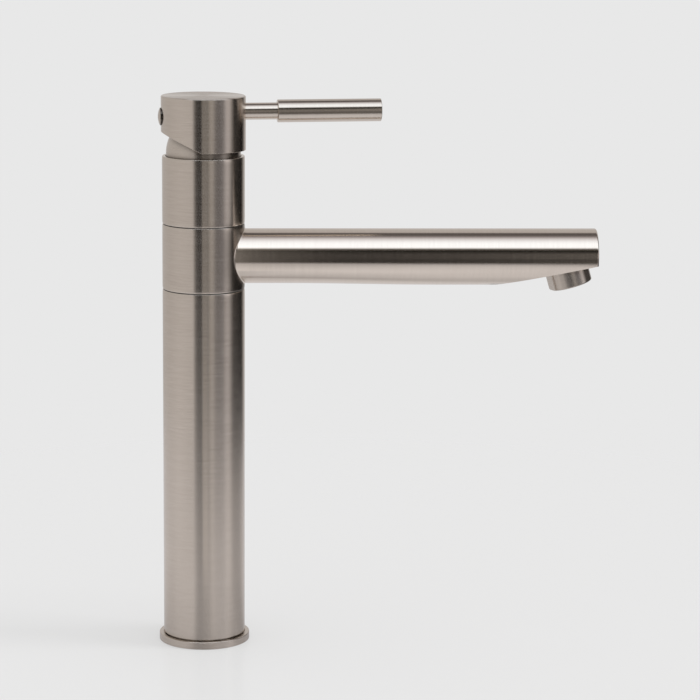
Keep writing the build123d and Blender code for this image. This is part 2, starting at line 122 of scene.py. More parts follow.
def round_rim(blank, radius, height, fillet, segments=5):
    """Rounds the edge that runs round a blank at one radius and height."""
    rim = [
        edge for edge in blank.edges if all(on_ring(vert, radius, height) for vert in edge.verts)
    ]
    round_edges(blank, rim, fillet, segments)


def soft_shoulder(radius, end, inwards):
    """The last millimetres of a tube's outside before its end, worn slightly round by the brushing
    belt: points of (radius, height) from the tube's wall to its end. Inwards is 1 or -1, the way
    from the end into the tube."""
    worn = ((3.0, 0.0), (1.6, 0.02), (0.8, 0.06), (0.3, 0.13), (0.0, 0.25))
    return [(radius - lost, end + inwards * along) for along, lost in worn]


def finish_piece(blank, name, material, edge=0.12):
    """Makes the object, with its sharp edges just broken as a polishing wheel leaves them."""
    mesh = bpy.data.meshes.new(name)
    blank.to_mesh(mesh)
    blank.free()
    mesh.shade_smooth()
    mesh.materials.append(material)
    piece = bpy.data.objects.new(name, mesh)
    bpy.context.scene.collection.objects.link(piece)
    if edge > 0:
        broken_edge = piece.modifiers.new("broken_edge", "BEVEL")
        broken_edge.width = edge * MM
        broken_edge.segments = 3
        broken_edge.limit_method = "ANGLE"
        broken_edge.angle_limit = sharp_angle
        broken_edge.use_clamp_overlap = False
        broken_edge.harden_normals = True
    else:
        mesh.set_sharp_from_angle(angle=sharp_angle)
    even_shading = piece.modifiers.new("even_shading", "WEIGHTED_NORMAL")
    even_shading.weight = 100
    even_shading.keep_sharp = True
    return piece


def dress(node_name, material):
    """Gives a solid of the frame its finish."""
    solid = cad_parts[node_name]
    solid.data.materials.clear()
    solid.data.materials.append(material)


def stand_for(piece, body, node_name):
    """Hangs a piece on its body in place of a solid of the frame."""
    dress(node_name, piece.data.materials[0])
    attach(piece, body)
    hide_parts(node_name)


def new_finish(name):
    """An empty finish: the material, its node tree, its shader and its object coordinates."""
    material = bpy.data.materials.new(name)
    material.use_nodes = True
    tree = material.node_tree
    shader = tree.nodes["Principled BSDF"]
    place = tree.nodes.new("ShaderNodeTexCoord").outputs["Object"]
    return material, tree, shader, place


def vector_step(tree, operation, first, second=None, scale=None):
    """One step of vector arithmetic: each input is a socket or a constant."""
    step = tree.nodes.new("ShaderNodeVectorMath")
    step.operation = operation
    for socket, value in ((step.inputs[0], first), (step.inputs[1], second)):
        if isinstance(value, bpy.types.NodeSocket):
            tree.links.new(value, socket)
        elif value is not None:
            socket.default_value = value
    if scale is not None:
        if isinstance(scale, bpy.types.NodeSocket):
            tree.links.new(scale, step.inputs["Scale"])
        else:
            step.inputs["Scale"].default_value = scale
    return step


def number_step(tree, operation, first, second=0.0):
    """One step of arithmetic on numbers: each input is a socket or a constant."""
    step = tree.nodes.new("ShaderNodeMath")
    step.operation = operation
    for socket, value in ((step.inputs[0], first), (step.inputs[1], second)):
        if isinstance(value, bpy.types.NodeSocket):
            tree.links.new(value, socket)
        else:
            socket.default_value = value
    return step.outputs[0]


def weigh_step(tree, first, share, second):
    """The first value's share, and for the rest the second value."""
    first_part = number_step(tree, "MULTIPLY", first, share)
    second_part = number_step(tree, "MULTIPLY", second, 1 - share)
    return number_step(tree, "ADD", first_part, second_part)


def noise_step(tree, place, scale, detail=2.0, roughness=0.5):
    """A noise value that is about a half."""
    noise = tree.nodes.new("ShaderNodeTexNoise")
    noise.inputs["Scale"].default_value = scale
    noise.inputs["Detail"].default_value = detail
    noise.inputs["Roughness"].default_value = roughness
    tree.links.new(place, noise.inputs["Vector"])
    return noise.outputs[0]


def spread_step(tree, value, low, high, to_low, to_high):
    """Stretches a value from one range to another."""
    spread = tree.nodes.new("ShaderNodeMapRange")
    tree.links.new(value, spread.inputs["Value"])
    spread.inputs["From Min"].default_value = low
    spread.inputs["From Max"].default_value = high
    spread.inputs["To Min"].default_value = to_low
    spread.inputs["To Max"].default_value = to_high
    return spread.outputs[0]


def shade_step(tree, value, first, second):
    """A colour between two, chosen by a value: each colour is a socket or a constant."""
    shade = tree.nodes.new("ShaderNodeMix")
    shade.data_type = "RGBA"
    tree.links.new(value, shade.inputs[0])
    for socket, colour in ((shade.inputs[6], first), (shade.inputs[7], second)):
        if isinstance(colour, bpy.types.NodeSocket):
            tree.links.new(colour, socket)
        else:
            socket.default_value = (*colour, 1.0)
    return shade.outputs[2]


def bump_step(tree, shader, height, strength, depth):
    """Lets a value raise the surface: depth in millimetres."""
    bump = tree.nodes.new("ShaderNodeBump")
    bump.inputs["Strength"].default_value = strength
    bump.inputs["Distance"].default_value = depth * MM
    tree.links.new(height, bump.inputs["Height"])
    tree.links.new(bump.outputs["Normal"], shader.inputs["Normal"])


def lathe_lines(tree, place, centre, axis, pitch, length):
    """Coordinates of the fine lines that a tool or an abrasive leaves round a turned part, and the
    direction of the lines. Pitch and length are those of one line, in millimetres."""
    from_centre = vector_step(tree, "SUBTRACT", place, centre).outputs[0]
    around = vector_step(tree, "CROSS_PRODUCT", axis, from_centre).outputs[0]
    radius = vector_step(tree, "LENGTH", around).outputs["Value"]
    along = vector_step(tree, "DOT_PRODUCT", from_centre, axis).outputs["Value"]
    outwards = number_step(tree, "ADD", radius, along)
    across_lines = number_step(tree, "MULTIPLY", outwards, 1 / (pitch * MM))
    across = vector_step(tree, "SCALE", axis, scale=across_lines).outputs[0]
    slow = vector_step(tree, "SCALE", from_centre, scale=1 / (length * MM)).outputs[0]
    return vector_step(tree, "ADD", across, slow).outputs[0], around


def brushed_nickel(name, centre=(0, 0, 0), axis=(0, 0, 1), rough=1.0, tone=1.0, grain=1.0):
    """Nickel plate brushed on the lathe: warm grey metal with hair-fine lines round the axis, so
    that a reflection stays sharp along the lines and spreads across them. The three numbers scale
    its roughness, its lightness and the depth of the lines."""
    material, tree, shader, place = new_finish(name)
    dark_plate = [level * tone for level in (0.612, 0.542, 0.474)]
    light_plate = [level * tone for level in (0.714, 0.640, 0.566)]
    hairlines, around = lathe_lines(tree, place, centre, axis, 0.30, 9)
    strokes, around = lathe_lines(tree, place, centre, axis, 0.85, 24)
    fine = noise_step(tree, hairlines, 1.0, 3.0, 0.6)
    broad = noise_step(tree, strokes, 1.0)
    cloud = noise_step(tree, place, 55.0)
    lines = weigh_step(tree, fine, 0.72, broad)
    streaks = weigh_step(tree, lines, 0.88, cloud)
    contrast = 0.2 / grain
    level = spread_step(tree, streaks, 0.5 - contrast, 0.5 + contrast, 0.0, 1.0)
    shade = shade_step(tree, level, dark_plate, light_plate)
    tree.links.new(shade, shader.inputs["Base Color"])
    gloss = spread_step(tree, lines, 0.3, 0.7, 0.185 * rough, 0.240 * rough)
    tree.links.new(gloss, shader.inputs["Roughness"])
    shader.inputs["Metallic"].default_value = 1.0
    shader.inputs["Anisotropic"].default_value = 0.89
    shader.inputs["Anisotropic Rotation"].default_value = 0.25
    turn_with_piece = tree.nodes.new("ShaderNodeVectorTransform")
    turn_with_piece.vector_type = "VECTOR"
    turn_with_piece.convert_from = "OBJECT"
    turn_with_piece.convert_to = "WORLD"
    tree.links.new(around, turn_with_piece.inputs[0])
    tree.links.new(turn_with_piece.outputs[0], shader.inputs["Tangent"])
    bump_step(tree, shader, lines, 0.20 * grain, 0.01)
    return material


upright_nickel = brushed_nickel("brushed_nickel_upright")
foot_blank = turned_blank(
    [
        (foot_bore_r, 0),
        (groove_inner_r, 0),
        (groove_inner_r, groove_height),
        (groove_outer_r, groove_height),
        (groove_outer_r, 0),
        (foot_r, 0),
        (foot_r, foot_height),
        (foot_socket_r, foot_height),
        (foot_socket_r, foot_seat),
        (foot_bore_r, foot_seat),
    ]
)
round_rim(foot_blank, foot_r, foot_height, foot_fillet)
foot_ring = finish_piece(foot_blank, "foot_ring", upright_nickel)
stand_for(foot_ring, "tap_body", "base_ring")


# Gasket and foot plug: a flat rubber ring seals the foot on the worktop, and a turned brass plug
# closes the column's foot. It holds the two stud threads and lets the hoses through.
def black_rubber(name):
    """Moulded nitrile rubber: dull black with a fine, slightly dusty skin."""
    material, tree, shader, place = new_finish(name)
    skin = noise_step(tree, place, 900.0, 3.0, 0.6)
    shade = shade_step(tree, skin, (0.020, 0.020, 0.021), (0.044, 0.043, 0.042))
    tree.links.new(shade, shader.inputs["Base Color"])
    tree.links.new(spread_step(tree, skin, 0.3, 0.7, 0.62, 0.82), shader.inputs["Roughness"])
    bump_step(tree, shader, skin, 0.25, 0.02)
    return material


def turned_brass(name, centre=(0, 0, 0), axis=(0, 0, 1)):
    """Free-cutting brass straight from the lathe, with its tool marks and a slight tarnish."""
    material, tree, shader, place = new_finish(name)
    marks, around = lathe_lines(tree, place, centre, axis, 0.25, 60)
    tool_marks = noise_step(tree, marks, 1.0)
    tarnish = noise_step(tree, place, 120.0, 3.0, 0.6)
    tone = weigh_step(tree, tool_marks, 0.4, tarnish)
    shade = shade_step(
        tree, spread_step(tree, tone, 0.3, 0.7, 0.0, 1.0), (0.56, 0.39, 0.17), (0.80, 0.62, 0.32)
    )
    tree.links.new(shade, shader.inputs["Base Color"])
    tree.links.new(spread_step(tree, tone, 0.3, 0.7, 0.36, 0.22), shader.inputs["Roughness"])
    shader.inputs["Metallic"].default_value = 1.0
    bump_step(tree, shader, tool_marks, 0.3, 0.02)
    return material


rubber = black_rubber("black_rubber")
brass = turned_brass("turned_brass")
dress("base_gasket", rubber)
dress("base_plug", brass)


# Column: a round brass tube, nickel plated and brushed round and round along its whole length. It
# stands on the step of the foot ring, and a threaded brass collar is soldered into its top.
column_r = 22.5
column_bore_r = 21.0
column_top = 197.8
shadow_groove_r = 21.7
shadow_groove_top = 4.65
column_blank = turned_blank(
    [
        (column_bore_r, foot_seat),
        (shadow_groove_r, foot_seat),
        (shadow_groove_r, shadow_groove_top),
        (column_r, shadow_groove_top),
        *soft_shoulder(column_r, column_top, -1),
        (column_bore_r, column_top),
    ]
)
column = finish_piece(column_blank, "column", upright_nickel)
stand_for(column, "tap_body", "column_tube")
dress("column_collar", brass)


# Valve body and its O-rings: a brass casting, machined all over, that screws into the collar. Its
# spigot carries the swivelling ring between two rubber O-rings, and its cup holds the cartridge.
dress("valve_body", brass)
dress("lower_o_ring", rubber)
dress("upper_o_ring", rubber)


# Slip rings: two thin turned rings of black acetal that the swivelling ring runs on. Only their
# edges show, as the dark lines below and above the spout's ring.
def black_acetal(name):
    """Turned acetal: black, satin, with faint tool marks."""
    material, tree, shader, place = new_finish(name)
    marks, around = lathe_lines(tree, place, (0, 0, 0), (0, 0, 1), 0.3, 60)
    tool_marks = noise_step(tree, marks, 1.0)
    shade = shade_step(tree, tool_marks, (0.012, 0.012, 0.012), (0.026, 0.025, 0.024))
    tree.links.new(shade, shader.inputs["Base Color"])
    tree.links.new(spread_step(tree, tool_marks, 0.3, 0.7, 0.38, 0.52), shader.inputs["Roughness"])
    bump_step(tree, shader, tool_marks, 0.2, 0.02)
    return material


acetal = black_acetal("black_acetal")
dress("lower_slip_ring", acetal)
dress("upper_slip_ring", acetal)


# Swivelling ring: the same plated and brushed brass as the column and flush with it. It carries
# the spout round the spigot, with a recess at each end for a slip ring. Shade is painted into
# the plate's colour in the corner beside the spout, which is darker there.
ring_bottom = 198.25
ring_top = 233.65
ring_bore_r = 17.05
recess_r = 18.6
recess_depth = 4.0
corner_centre = Vector((0, 0, 218.0)) * MM
corner_shape = (0, 1, 0.4)
corner_start = 16.5
corner_end = 20.5
corner_least = 0.38
corner_depth = 8.0
painted_gap_shade = (0.08, 0.068, 0.056)
ring_blank = turned_blank(
    [
        (recess_r, ring_bottom),
        *reversed(soft_shoulder(column_r, ring_bottom, 1)),
        *soft_shoulder(column_r, ring_top, -1),
        (recess_r, ring_top),
        (recess_r, ring_top - recess_depth),
        (ring_bore_r, ring_top - recess_depth),
        (ring_bore_r, ring_bottom + recess_depth),
        (recess_r, ring_bottom + recess_depth),
    ]
)


def paint_gap_shade(material, open_share):
    """Paints shade into the plate's colour in a corner or gap, where the open share falls to
    nought.
    """
    tree = material.node_tree
    shader = tree.nodes["Principled BSDF"]
    plate = shader.inputs["Base Color"].links[0].from_socket
    tree.links.new(shade_step(tree, open_share, painted_gap_shade, plate), shader.inputs["Base Color"])


def split_step(tree, vector):
    """The three parts of a vector, by name."""
    split = tree.nodes.new("ShaderNodeSeparateXYZ")
    tree.links.new(vector, split.inputs[0])
    return split.outputs


# Painted shade: the plate's colour is taken down near the spout's middle, in the corner beside it.
ring_nickel = brushed_nickel("brushed_nickel_ring")
tree = ring_nickel.node_tree
place = tree.nodes.new("ShaderNodeTexCoord").outputs["Object"]
from_corner = vector_step(tree, "SUBTRACT", place, corner_centre).outputs[0]
flattened = vector_step(tree, "MULTIPLY", from_corner, corner_shape).outputs[0]
beside_spout = vector_step(tree, "LENGTH", flattened).outputs["Value"]
open_share = spread_step(
    tree, beside_spout, corner_start * MM, corner_end * MM, corner_least, 1.0
)
away_from_spout = spread_step(tree, split_step(tree, place)["X"], 0.0, corner_depth * MM, 1.0, 0.0)
paint_gap_shade(ring_nickel, number_step(tree, "MAXIMUM", open_share, away_from_spout))
turning_ring = finish_piece(ring_blank, "turning_ring", ring_nickel)
stand_for(turning_ring, "spout", "swivel_ring")


# Spout: a straight brass tube soldered to the ring with a fine fillet all round. Its tip is closed
# and rounded, and its underside is cut off at a slope towards the tip, with a hole for the nozzle.
spout_z = 215.95
spout_r = 15.0
spout_reach = 215.2
spout_wall = 1.5
solder_fillet = 0.5
tip_fillet = 0.9
belly_start = 45.0
belly_full = 128.0
belly = 0.062
underside_start = 162.5
underside_slope = math.radians(12)
nozzle_x = 199.2
nozzle_z = 208.751
nozzle_tilt = math.radians(-16)
nozzle_hole_r = 12.15
spout_steps = (26, 45, 55, 65, 75, 85, 95, 105, 115, 128, 150, spout_reach)
along_x = Matrix.Rotation(math.pi / 2, 4, "Y")
nozzle_frame = Matrix.Translation(Vector((nozzle_x, 0, nozzle_z)) * MM) @ Matrix.Rotation(
    nozzle_tilt, 4, "Y"
)

spout_outline = []
for step in range(6):
    turn = math.radians(18 * step)
    spout_outline.append(
        (
            spout_r + solder_fillet * (1 - math.sin(turn)),
            column_r + solder_fillet * (1 - math.cos(turn)),
        )
    )
spout_outline += [(spout_r, along) for along in spout_steps] + [(0, spout_reach)]
spout_blank = turned_blank(spout_outline, closed=False)
round_rim(spout_blank, spout_r, spout_reach, tip_fillet, segments=6)
bmesh.ops.transform(
    spout_blank,
    matrix=Matrix.Translation((0, 0, spout_z * MM)) @ along_x,
    verts=spout_blank.verts,
)
for vert in spout_blank.verts:
    if vert.co.x < (column_r + 1) * MM:
        vert.co.x += math.sqrt((column_r * MM) ** 2 - vert.co.y**2) - column_r * MM
    below_middle = vert.co.z - spout_z * MM
    if below_middle < 0:
        share = min(max((vert.co.x / MM - belly_start) / (belly_full - belly_start), 0), 1)
        vert.co.z += below_middle * belly * share * share * (3 - 2 * share)


def saw_off(blank, point, outwards):
    """Cuts away what lies outside a plane, and gives back the edges round the cut."""
    cut = bmesh.ops.bisect_plane(
        blank,
        geom=blank.verts[:] + blank.edges[:] + blank.faces[:],
        dist=cut_distance,
        plane_co=point,
        plane_no=outwards,
        clear_outer=True,
    )
    return [part for part in cut["geom_cut"] if isinstance(part, bmesh.types.BMEdge)]


underside_point = Vector((underside_start, 0, spout_z - spout_r)) * MM
underside_normal = Vector((math.sin(underside_slope), 0, -math.cos(underside_slope)))
underside_edge = saw_off(spout_blank, underside_point, underside_normal)
hole = bmesh.ops.create_circle(
    spout_blank, segments=96, radius=nozzle_hole_r * MM, matrix=nozzle_frame
)["verts"]
nozzle_axis = nozzle_frame.to_3x3() @ Vector((0, 0, 1))
for vert in hole:
    below = (underside_point - vert.co).dot(underside_normal) / nozzle_axis.dot(underside_normal)
    vert.co += nozzle_axis * below
hole_edge = list({edge for vert in hole for edge in vert.link_edges})
bmesh.ops.triangle_fill(
    spout_blank, edges=underside_edge + hole_edge, use_beauty=True, use_dissolve=False
)
bmesh.ops.recalc_face_normals(spout_blank, faces=spout_blank.faces)
bmesh.ops.solidify(spout_blank, geom=spout_blank.faces[:], thickness=spout_wall * MM)
# Painted light: a lighter copy of the same nickel, tone 1.22, for the brighter spout.
spout_nickel = brushed_nickel(
    "brushed_nickel_spout",
    Vector((0, 0, spout_z)) * MM,
    (1, 0, 0),
    rough=0.64,
    tone=1.22,
    grain=0.6,
)
spout = finish_piece(spout_blank, "spout_pipe", spout_nickel, edge=0)
stand_for(spout, "spout", "spout_tube")


# Nozzle: a turned and plated brass housing with two spanner flats, screwed into a brass bush in
# the spout. Inside are a strainer and a honeycomb flow straightener of white plastic, and a seal.
nozzle_r = 12.0
nozzle_drop = 9.1
nozzle_sunk = 0.8
nozzle_thread_r = 10.9
nozzle_thread_top = 6.3
nozzle_bore_r = 9.8
nozzle_lip_r = 9.3
nozzle_lip_height = 1.0
nozzle_fillet = 0.8
flat_distance = 11.0
flats_turn = math.radians(13)
nozzle_blank = turned_blank(
    [
        (nozzle_lip_r, -nozzle_drop),
        (nozzle_r, -nozzle_drop),
        (nozzle_r, nozzle_sunk),
        (nozzle_thread_r, nozzle_sunk),
        (nozzle_thread_r, nozzle_thread_top),
        (nozzle_bore_r, nozzle_thread_top),
        (nozzle_bore_r, nozzle_lip_height - nozzle_drop),
        (nozzle_lip_r, nozzle_lip_height - nozzle_drop),
    ]
)
round_rim(nozzle_blank, nozzle_r, -nozzle_drop, nozzle_fillet)
for side in (-1, 1):
    outwards = Vector((math.cos(flats_turn), math.sin(flats_turn), 0)) * side
    flat_edge = saw_off(nozzle_blank, outwards * flat_distance * MM, outwards)
    bmesh.ops.contextual_create(nozzle_blank, geom=flat_edge)
bmesh.ops.recalc_face_normals(nozzle_blank, faces=nozzle_blank.faces)
bmesh.ops.transform(nozzle_blank, matrix=nozzle_frame, verts=nozzle_blank.verts)
nozzle_centre = Vector((nozzle_x, 0, nozzle_z)) * MM
# Painted shade: a darker copy of the same nickel, tone 0.90, for the darker nozzle.
nozzle_nickel = brushed_nickel(
    "brushed_nickel_nozzle", nozzle_centre, nozzle_axis, rough=1.4, tone=0.90
)
nozzle = finish_piece(nozzle_blank, "nozzle", nozzle_nickel)
stand_for(nozzle, "spout", "aerator_housing")


def moulded_plastic(name, dark, light, roughness):
    """Moulded plastic with a fine satin skin."""
    material, tree, shader, place = new_finish(name)
    skin = noise_step(tree, place, 700.0)
    flow = noise_step(tree, place, 90.0)
    tone = weigh_step(tree, skin, 0.4, flow)
    shade = shade_step(tree, spread_step(tree, tone, 0.3, 0.7, 0.0, 1.0), dark, light)
    tree.links.new(shade, shader.inputs["Base Color"])
    rough = spread_step(tree, tone, 0.3, 0.7, roughness + 0.06, roughness - 0.06)
    tree.links.new(rough, shader.inputs["Roughness"])
    bump_step(tree, shader, skin, 0.15, 0.01)
    return material


white_plastic = moulded_plastic(
    "white_acetal", (0.76, 0.755, 0.725), (0.84, 0.835, 0.81), 0.38
)
grey_plastic = moulded_plastic("grey_acetal", (0.55, 0.56, 0.57), (0.63, 0.64, 0.65), 0.38)
nozzle_brass = turned_brass("turned_brass_nozzle", nozzle_centre, nozzle_axis)
dress("outlet_bush", nozzle_brass)
dress("aerator_straightener", white_plastic)
dress("aerator_strainer", white_plastic)
dress("aerator_seal", rubber)


# Sleeve: a fixed cover of plated and brushed brass round the cartridge cup, held by the cup at its
# bottom flange. Its top edge is worn round where the ball cover comes out.
sleeve_bottom = 234.1
sleeve_top = 270.8
sleeve_bore_r = 20.65
sleeve_flange_r = 17.1
sleeve_flange_top = 235.1
sleeve_blank = turned_blank(
    [
        (sleeve_flange_r, sleeve_bottom),
        *reversed(soft_shoulder(column_r, sleeve_bottom, 1)),
        *soft_shoulder(column_r, sleeve_top, -1),
        (sleeve_bore_r, sleeve_top),
        (sleeve_bore_r, sleeve_flange_top),
        (sleeve_flange_r, sleeve_flange_top),
    ]
)
sleeve = finish_piece(sleeve_blank, "sleeve", upright_nickel)
stand_for(sleeve, "tap_body", "upper_sleeve")


# Cartridge: a plastic housing with two lapped ceramic discs, the lower one fixed and the upper one
# slid by the stem. The rotor turns in its neck, and a brass nut presses it into the cup.
def lapped_ceramic(name):
    """Alumina ceramic, lapped and polished: warm white with a close, cloudy grain."""
    material, tree, shader, place = new_finish(name)
    grain = noise_step(tree, place, 1400.0, 3.0, 0.6)
    shade = shade_step(tree, grain, (0.80, 0.785, 0.735), (0.90, 0.89, 0.85))
    tree.links.new(shade, shader.inputs["Base Color"])
    tree.links.new(spread_step(tree, grain, 0.3, 0.7, 0.10, 0.18), shader.inputs["Roughness"])
    return material


def bright_steel(name, centre=(0, 0, 0), axis=(0, 0, 1)):
    """Stainless steel, drawn bright, with faint lines along the bar."""
    material, tree, shader, place = new_finish(name)
    marks, around = lathe_lines(tree, place, centre, axis, 0.2, 20)
    drawn = noise_step(tree, marks, 1.0)
    shade = shade_step(tree, drawn, (0.50, 0.50, 0.50), (0.64, 0.64, 0.65))
    tree.links.new(shade, shader.inputs["Base Color"])
    tree.links.new(spread_step(tree, drawn, 0.3, 0.7, 0.22, 0.34), shader.inputs["Roughness"])
    shader.inputs["Metallic"].default_value = 1.0
    bump_step(tree, shader, drawn, 0.2, 0.01)
    return material


ceramic = lapped_ceramic("lapped_ceramic")
steel = bright_steel("bright_steel")
dress("cartridge_base", white_plastic)
dress("lower_port_seals", rubber)
dress("upper_port_seals", rubber)
dress("fixed_disc", ceramic)
dress("moving_disc", ceramic)
dress("disc_carrier", grey_plastic)
dress("cartridge_housing", white_plastic)
dress("cartridge_rotor", grey_plastic)
dress("rotor_o_ring", rubber)
dress("stem_pin", steel)
dress("cartridge_stem", steel)
dress("cartridge_nut", brass)


# Ball cover: a turned brass shell, plated and brushed, screwed onto the cartridge nut. Its middle
# is the point that the handle tips about, and its opening leaves room for the handle's boss.
# Shade is painted into the plate's colour in the narrow gaps under the cap and inside the sleeve:
# an occlusion test darkens it where other surfaces are close.
pivot_z = 272.4
ball_r = 20.3
ball_bore_r = 19.1
skirt_r = 18.8
skirt_bottom = 269.1
opening_r = 15.29
ball_steps = 16
gap_reach = 5.0
gap_shut = 0.3
gap_clear = 0.92
outer_end = math.acos(opening_r / ball_r)
inner_end = math.acos(opening_r / ball_bore_r)
ball_outline = [(skirt_r, skirt_bottom), (ball_r, skirt_bottom)]
for step in range(ball_steps + 1):
    rise = outer_end * step / ball_steps
    ball_outline.append((ball_r * math.cos(rise), pivot_z + ball_r * math.sin(rise)))
for step in range(ball_steps, -1, -1):
    rise = inner_end * step / ball_steps
    ball_outline.append((ball_bore_r * math.cos(rise), pivot_z + ball_bore_r * math.sin(rise)))
ball_outline.append((skirt_r, pivot_z))
ball_blank = turned_blank(ball_outline)
ball_nickel = brushed_nickel("brushed_nickel_ball", rough=1.4)
# Painted shade: the plate is darker where the occlusion test finds the cap or the sleeve close by.
tree = ball_nickel.node_tree
opening = tree.nodes.new("ShaderNodeAmbientOcclusion")
opening.samples = 8
opening.inputs["Distance"].default_value = gap_reach * MM
open_share = spread_step(tree, opening.outputs["AO"], gap_shut, gap_clear, 0.0, 1.0)
paint_gap_shade(ball_nickel, open_share)
ball_cover = finish_piece(ball_blank, "ball_cover", ball_nickel)
stand_for(ball_cover, "tap_body", "dome_cover")


# Cap: the handle's head, bored out of a solid bar, plated and brushed. A sloping cut at the back
# clears the sleeve when the handle tips, and a boss inside takes the cartridge's stem.
handle_turn = math.radians(5)
cap_r = 23.0
cap_bottom = 274.1
cap_top = 303.5
cap_bore_r = 20.8
cap_ceiling = 300.0
cap_fillet = 0.8
boss_r = 6.8
boss_bottom = 288.6
socket_r = 5.0
socket_top = 298.0
cut_start = 2.8
cut_slope = math.radians(26)
cut_corner_round = 1.5
cap_blank = turned_blank(
    [
        (0, cap_top),
        (cap_r, cap_top),
        (cap_r, cap_bottom),
        (cap_bore_r, cap_bottom),
        (cap_bore_r, cap_ceiling),
        (boss_r, cap_ceiling),
        (boss_r, boss_bottom),
        (socket_r, boss_bottom),
        (socket_r, socket_top),
        (0, socket_top),
    ]
)
round_rim(cap_blank, cap_r, cap_top, cap_fillet)
cut_point = Vector((-cut_start, 0, cap_bottom)) * MM
cut_normal = Vector((-math.sin(cut_slope), 0, -math.cos(cut_slope)))
cut_edge = saw_off(cap_blank, cut_point, cut_normal)
bmesh.ops.contextual_create(cap_blank, geom=cut_edge)
bmesh.ops.recalc_face_normals(cap_blank, faces=cap_blank.faces)
corner_edges = []
for edge in cap_blank.edges:
    off_corner = [vert.co - cut_point for vert in edge.verts]
    if all(abs(off.x) < 0.01 * MM and abs(off.z) < 0.01 * MM for off in off_corner):
        corner_edges.append(edge)
round_edges(cap_blank, corner_edges, cut_corner_round, segments=4)
bmesh.ops.rotate(
    cap_blank, cent=(0, 0, 0), matrix=Matrix.Rotation(handle_turn, 3, "Z"), verts=cap_blank.verts
)
cap = finish_piece(cap_blank, "cap", upright_nickel, edge=0.2)
stand_for(cap, "handle", "handle_cap")


# Lever: a thin plated rod screwed into the cap, and on its end a thicker sleeve to hold it by,
# closed at the far end. Both are turned and brushed round and round.
lever_z = 294.6
lever_r = 4.6
lever_rise = math.radians(0.3)
lever_thread_r = 2.95
lever_thread_start = 9.85
lever_seat_x = 21.85
grip_start = 40.25
grip_end = 97.0
grip_r = 6.2
grip_bore_r = 4.05
grip_bore_end = 93.0
grip_fillet = 0.35
grip_play = 0.05
lever_frame = (
    Matrix.Rotation(handle_turn, 4, "Z")
    @ Matrix.Translation((0, 0, lever_z * MM))
    @ Matrix.Rotation(-lever_rise, 4, "Y")
    @ along_x
)
lever_direction = (math.cos(handle_turn), math.sin(handle_turn), 0)
# Painted light: a lighter copy of the same nickel, tone 1.1, for the brighter lever.
lever_nickel = brushed_nickel(
    "brushed_nickel_lever",
    Vector((0, 0, lever_z)) * MM,
    lever_direction,
    rough=0.8,
    tone=1.1,
    grain=0.7,
)
lever_blank = turned_blank(
    [
        (0, lever_thread_start),
        (lever_thread_r, lever_thread_start),
        (lever_thread_r, lever_seat_x),
        (lever_r, lever_seat_x),
        (lever_r, grip_start - grip_play),
        (grip_bore_r - grip_play, grip_start - grip_play),
        (grip_bore_r - grip_play, grip_bore_end - grip_play),
        (0, grip_bore_end - grip_play),
    ],
    steps=128,
)
bmesh.ops.transform(lever_blank, matrix=lever_frame, verts=lever_blank.verts)
lever = finish_piece(lever_blank, "lever", lever_nickel)
stand_for(lever, "handle", "lever_rod")

grip_blank = turned_blank(
    [
        (grip_bore_r, grip_start),
        (grip_r, grip_start),
        (grip_r, grip_end),
        (0, grip_end),
        (0, grip_bore_end),
        (grip_bore_r, grip_bore_end),
    ],
    steps=128,
)
round_rim(grip_blank, grip_r, grip_start, grip_fillet)
round_rim(grip_blank, grip_r, grip_end, grip_fillet)
bmesh.ops.transform(grip_blank, matrix=lever_frame, verts=grip_blank.verts)
grip = finish_piece(grip_blank, "grip", lever_nickel)
stand_for(grip, "handle", "lever_sleeve")


# Grub screw and index button: a steel screw at the back clamps the boss on the stem, and a small
# domed button of polished nickel closes its hole. The button stands a hair off the round cap, and
# its side wall is painted dark: painted shade for the gap under the button's rim.
index_z = 292.15
index_r = 4.75
index_stem_r = 4.25
index_stem_x = -21.5
index_back = -22.4
index_front = -23.52
index_dome = 1.1
index_steps = 10
index_ball_r = (index_r**2 + index_dome**2) / (2 * index_dome)
index_sweep = math.asin(index_r / index_ball_r)
index_outline = [
    (0, index_stem_x),
    (index_stem_r, index_stem_x),
    (index_stem_r, index_back),
    (index_r, index_back),
]
for step in range(index_steps + 1):
    lean = index_sweep * (1 - step / index_steps)
    radius = index_ball_r * math.sin(lean) if step < index_steps else 0
    index_outline.append(
        (radius, index_front - index_dome + index_ball_r * (1 - math.cos(lean)))
    )
index_blank = turned_blank(index_outline, steps=96)
index_frame = (
    Matrix.Rotation(handle_turn, 4, "Z") @ Matrix.Translation((0, 0, index_z * MM)) @ along_x
)
for face in index_blank.faces:
    middle = face.calc_center_median() / MM
    if index_front < middle.z < index_back and math.hypot(middle.x, middle.y) > index_stem_r:
        face.material_index = 1
bmesh.ops.transform(index_blank, matrix=index_frame, verts=index_blank.verts)
index_centre = Vector((0, 0, index_z)) * MM
index_nickel = brushed_nickel("polished_nickel_button", index_centre, lever_direction, rough=0.8)
index_button = finish_piece(index_blank, "button", index_nickel, edge=0.08)
# Painted shade: a very dark copy of the nickel on the button's side wall.
button_side_shade = brushed_nickel("painted_shade_button_side", index_centre, lever_direction, tone=0.15)
index_button.data.materials.append(button_side_shade)
stand_for(index_button, "handle", "index_button")
dress("handle_set_screw", steel)


# Worktop: a plain pale, slightly glossy board. It keeps the tap's soft shadow and a faint mirror
# image, and away from the tap it fades into the pale background. As the metal sees it, the board
# is painted light, with painted shade at the foot, and half its brightness glows.
floor_shade = (0.83, 0.83, 0.83)
floor_half = 1.2
floor_place = (0.05, 0, -0.0002)
floor_gloss = 0.22
floor_shine = 0.16
glow_share = 0.5
